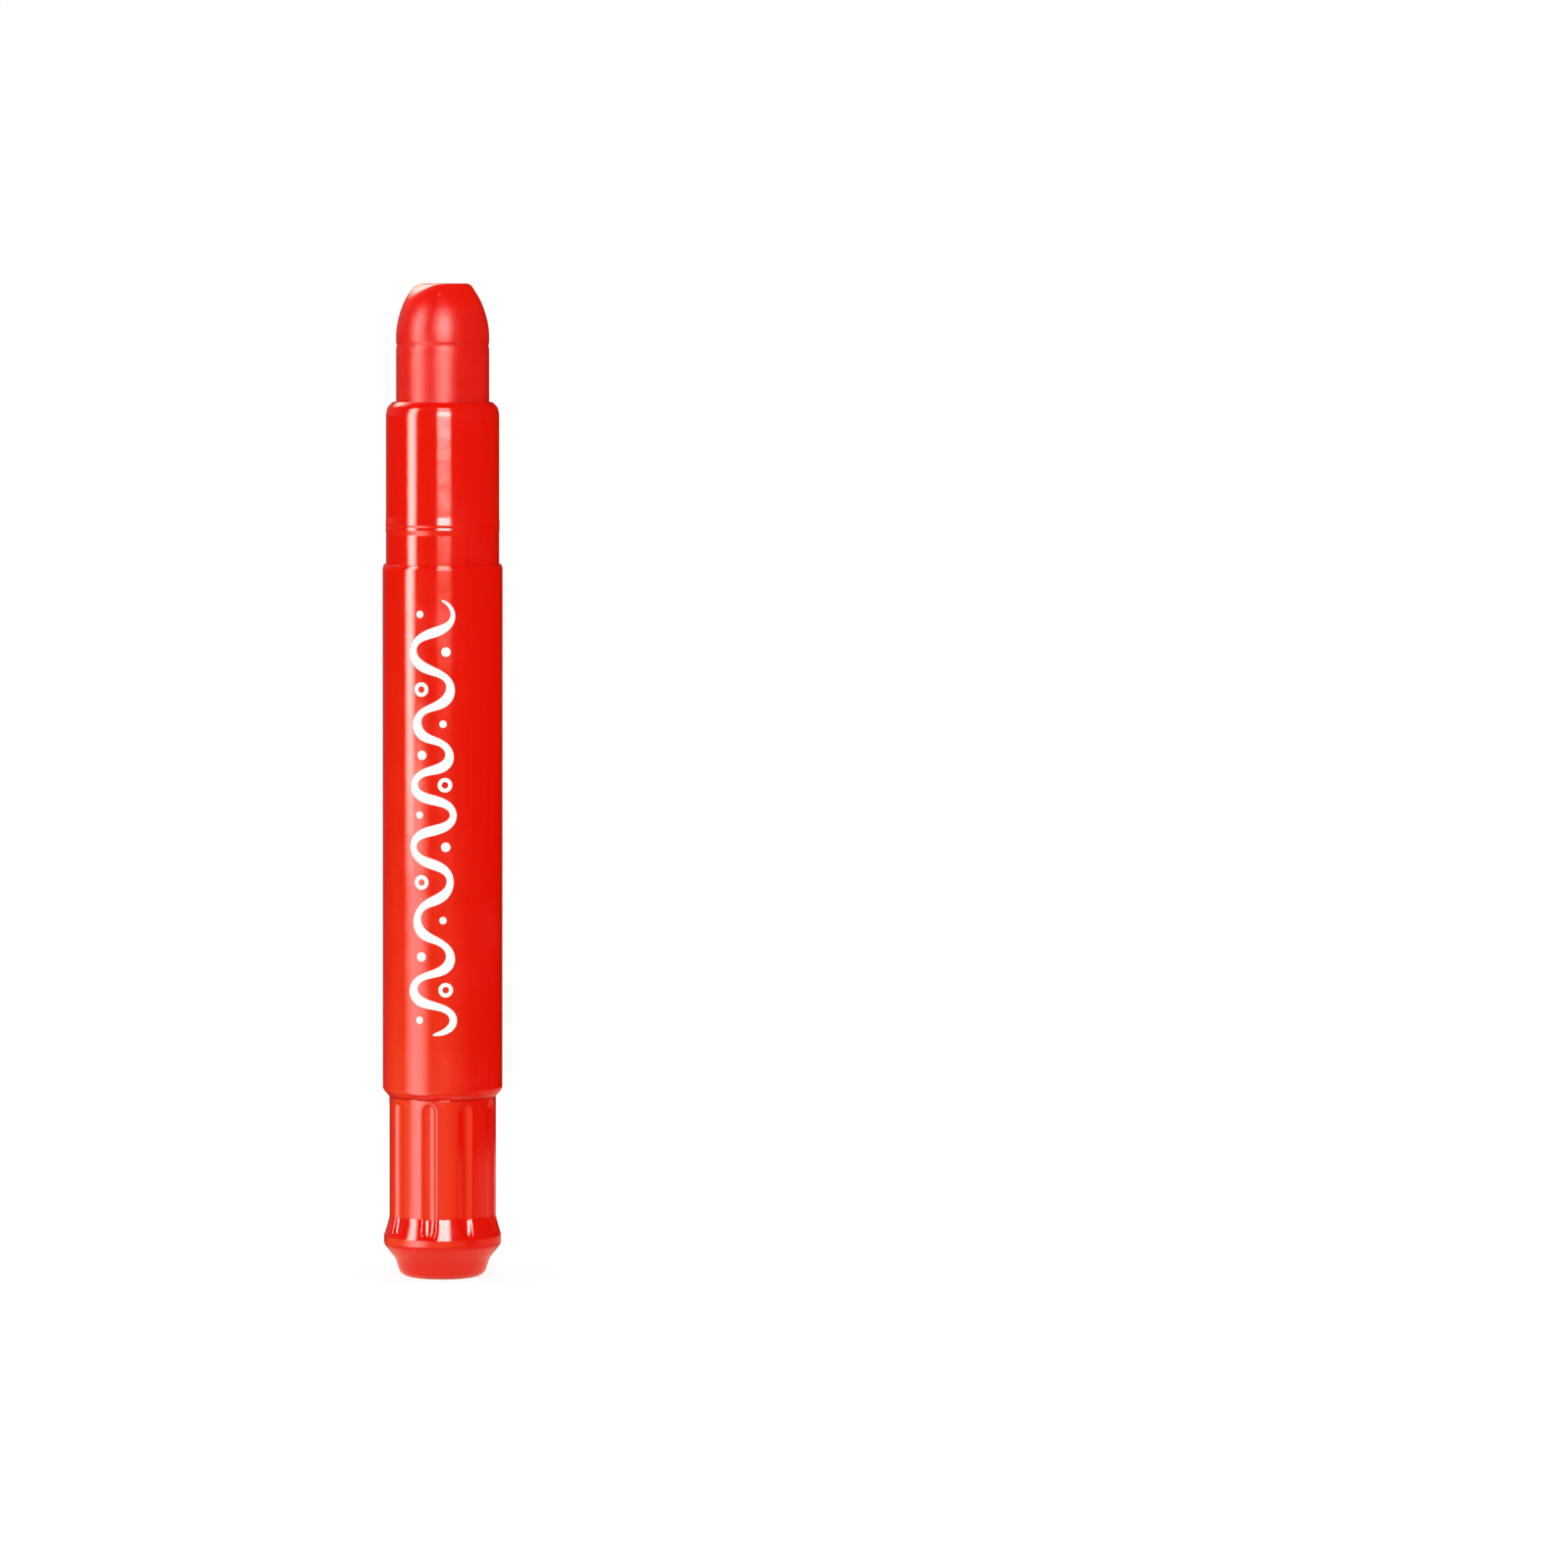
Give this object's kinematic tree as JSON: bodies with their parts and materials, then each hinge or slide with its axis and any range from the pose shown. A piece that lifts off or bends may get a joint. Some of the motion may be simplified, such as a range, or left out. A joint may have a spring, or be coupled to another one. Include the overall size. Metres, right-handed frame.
{
  "type": "twist crayon",
  "caption": "Slim round twist crayon: a fluted knob at the foot turns a lead screw that winds a blunt-tipped wax stick in and out of a gloss plastic barrel.",
  "frame": {"origin": "middle of the flat foot, where the crayon stands upright", "axes": "+Z along the crayon's axis from the foot to the tip; -Y is the front, as seen in the picture"},
  "size_m": [0.015, 0.015, 0.1245],
  "materials": {
    "red_gloss_plastic": "saturated red moulded plastic, high gloss",
    "red_wax": "red pigmented wax, satin",
    "natural_plastic": "unpigmented white moulded plastic, satin",
    "black_rubber": "black rubber, dull",
    "white_ink": "white ink printed on the barrel, satin"
  },
  "bodies": {
    "barrel": {"barrel": "red_gloss_plastic", "nozzle": "red_gloss_plastic", "retaining_collar": "natural_plastic"},
    "knob": {"twist_knob": "red_gloss_plastic", "end_plug": "red_gloss_plastic", "lead_screw": "natural_plastic", "friction_ring": "black_rubber"},
    "carrier": {"carrier": "natural_plastic", "crayon_stick": "red_wax"}
  },
  "joints": [
    {"name": "knob_turn", "type": "hinge", "parent": "barrel", "child": "knob", "pos_m": [0, 0, 0.02272], "axis": [0, 0, 1], "range_deg": [-1436, 2842]},
    {"name": "crayon_slide", "type": "slide", "parent": "barrel", "child": "carrier", "axis": [0, 0, 1], "range_m": [-0.01595, 0.03158]}
  ],
  "couplings": [
    {"joint": "knob_turn", "follows": "crayon_slide", "rad_per_m": 1570.8}
  ]
}
